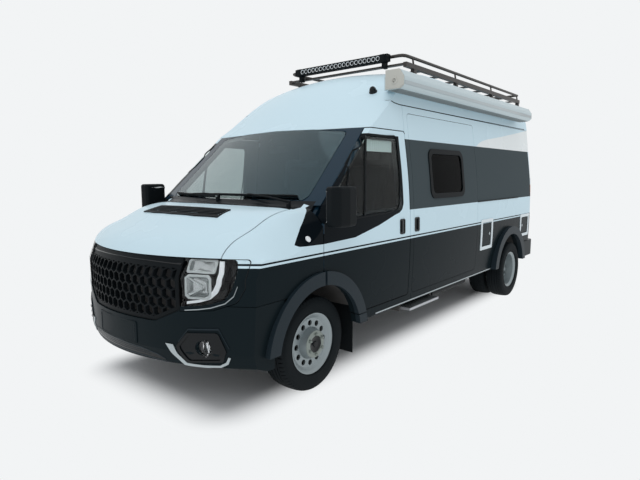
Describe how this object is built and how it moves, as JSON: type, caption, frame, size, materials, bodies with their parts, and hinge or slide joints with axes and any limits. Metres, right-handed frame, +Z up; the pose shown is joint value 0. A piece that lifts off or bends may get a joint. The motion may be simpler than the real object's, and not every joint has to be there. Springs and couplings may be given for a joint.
{
  "type": "high-roof camper van",
  "caption": "High-roof camper van with honeycomb grille, hinged cab and rear doors, service hatches, awning, roof rack and twin rear wheels.",
  "frame": {"origin": "on the ground below the middle of the van's length and width", "axes": "+Z up, front facing -Y, the van's left side on +X"},
  "size_m": [2.3838, 5.74, 2.6719],
  "materials": {
    "black_plastic": "matt black moulding",
    "awning_case": "pale anodised case",
    "body_paint": "satin two-tone paint, pale above and slate below",
    "pane": "tinted safety glass",
    "seat_cloth": "dark woven cloth",
    "chassis_steel": "black painted steel",
    "trim": "grained dark trim",
    "cast_metal": "bare casting",
    "step_aluminium": "ribbed aluminium",
    "lamp_lens": "clear lens over bright reflectors",
    "slate_plastic": "slate grey moulding",
    "gloss_black": "gloss black moulding",
    "frame_white": "white moulded frame",
    "roof_shell": "moulded pale roof cap",
    "light_alloy": "finned alloy housing",
    "rubber_flap": "black rubber",
    "wheel_silver": "silver painted steel",
    "rack_steel": "dark powder coat",
    "tyre": "black rubber"
  },
  "bodies": {
    "van": {"arch_flares": "black_plastic", "awning": "awning_case", "bodyside_left": "body_paint", "bodyside_right": "body_paint", "cab_seats": "seat_cloth", "chassis_frame": "chassis_steel", "dashboard": "trim", "engine_block": "cast_metal", "floor_pan": "chassis_steel", "fog_lamps": "lamp_lens", "front_bumper": "slate_plastic", "front_pillars": "gloss_black", "front_wings": "body_paint", "fuel_tank": "black_plastic", "grille": "black_plastic", "hatch_frames": "frame_white", "headlamps": "lamp_lens", "high_roof": "roof_shell", "light_bar": "light_alloy", "mudflaps": "rubber_flap", "radiator": "chassis_steel", "rear_axle": "chassis_steel", "rear_bumper": "slate_plastic", "roof_rack": "rack_steel", "scuttle": "black_plastic", "seat_bases": "trim", "side_windows": "pane", "sliding_door": "body_paint", "steering_wheel": "trim", "step_frame": "chassis_steel", "windscreen": "pane"},
    "knuckle_left_body": {"knuckle_left": "cast_metal"},
    "knuckle_right_body": {"knuckle_right": "cast_metal"},
    "wheel_front_left": {"tyre_front_left": "tyre", "rim_front_left": "wheel_silver"},
    "wheel_front_right": {"tyre_front_right": "tyre", "rim_front_right": "wheel_silver"},
    "wheels_rear_left": {"tyres_rear_left": "tyre", "rims_rear_left": "wheel_silver"},
    "wheels_rear_right": {"tyres_rear_right": "tyre", "rims_rear_right": "wheel_silver"},
    "door_cab_left": {"cab_door_left": "body_paint", "cab_door_left_glass": "pane", "mirror_left": "gloss_black", "door_flare_left": "black_plastic"},
    "door_cab_right": {"cab_door_right": "body_paint", "cab_door_right_glass": "pane", "mirror_right": "gloss_black", "door_flare_right": "black_plastic"},
    "door_rear_left": {"rear_door_left": "body_paint", "rear_door_left_glass": "pane"},
    "door_rear_right": {"rear_door_right": "body_paint", "rear_door_right_glass": "pane"},
    "bonnet_lid": {"bonnet": "body_paint"},
    "hatch_front": {"hatch_lid_front": "body_paint"},
    "hatch_rear": {"hatch_lid_rear": "body_paint"},
    "step": {"entry_step": "step_aluminium"}
  },
  "joints": [
    {"name": "steer_left", "type": "hinge", "parent": "van", "child": "knuckle_left_body", "pos_m": [0.75, -1.88, 0.347], "axis": [0, 0, 1], "range_deg": [-35, 35]},
    {"name": "steer_right", "type": "hinge", "parent": "van", "child": "knuckle_right_body", "pos_m": [-0.75, -1.88, 0.347], "axis": [0, 0, 1], "range_deg": [-35, 35]},
    {"name": "spin_front_left", "type": "hinge", "parent": "knuckle_left_body", "child": "wheel_front_left", "pos_m": [0.81, -1.88, 0.347], "axis": [1, 0, 0], "continuous": true},
    {"name": "spin_front_right", "type": "hinge", "parent": "knuckle_right_body", "child": "wheel_front_right", "pos_m": [-0.81, -1.88, 0.347], "axis": [1, 0, 0], "continuous": true},
    {"name": "spin_rear_left", "type": "hinge", "parent": "van", "child": "wheels_rear_left", "pos_m": [0.82, 1.87, 0.347], "axis": [1, 0, 0], "continuous": true},
    {"name": "spin_rear_right", "type": "hinge", "parent": "van", "child": "wheels_rear_right", "pos_m": [-0.82, 1.87, 0.347], "axis": [1, 0, 0], "continuous": true},
    {"name": "open_cab_door_left", "type": "hinge", "parent": "van", "child": "door_cab_left", "pos_m": [0.995, -1.878, 1.065], "axis": [0, 0, -1], "range_deg": [0, 60]},
    {"name": "open_cab_door_right", "type": "hinge", "parent": "van", "child": "door_cab_right", "pos_m": [-0.995, -1.878, 1.065], "axis": [0, 0, 1], "range_deg": [0, 60]},
    {"name": "open_rear_door_left", "type": "hinge", "parent": "van", "child": "door_rear_left", "pos_m": [0.912, 2.744, 1], "axis": [0, 0, -1], "range_deg": [0, 170]},
    {"name": "open_rear_door_right", "type": "hinge", "parent": "van", "child": "door_rear_right", "pos_m": [-0.912, 2.744, 1], "axis": [0, 0, 1], "range_deg": [0, 170]},
    {"name": "open_bonnet", "type": "hinge", "parent": "van", "child": "bonnet_lid", "pos_m": [0, -1.995, 1.316], "axis": [-1, 0, 0], "range_deg": [0, 50]},
    {"name": "open_hatch_front", "type": "hinge", "parent": "van", "child": "hatch_front", "pos_m": [0.995, 0.972, 0.871], "axis": [0, 0, -1], "range_deg": [0, 100]},
    {"name": "open_hatch_rear", "type": "hinge", "parent": "van", "child": "hatch_rear", "pos_m": [0.995, 2.573, 0.8725], "axis": [0, 0, 1], "range_deg": [0, 100]},
    {"name": "slide_step", "type": "slide", "parent": "van", "child": "step", "axis": [1, 0, 0], "range_m": [0, 0.22]}
  ],
  "couplings": [
    {"joint": "steer_right", "follows": "steer_left", "ratio": 1}
  ]
}
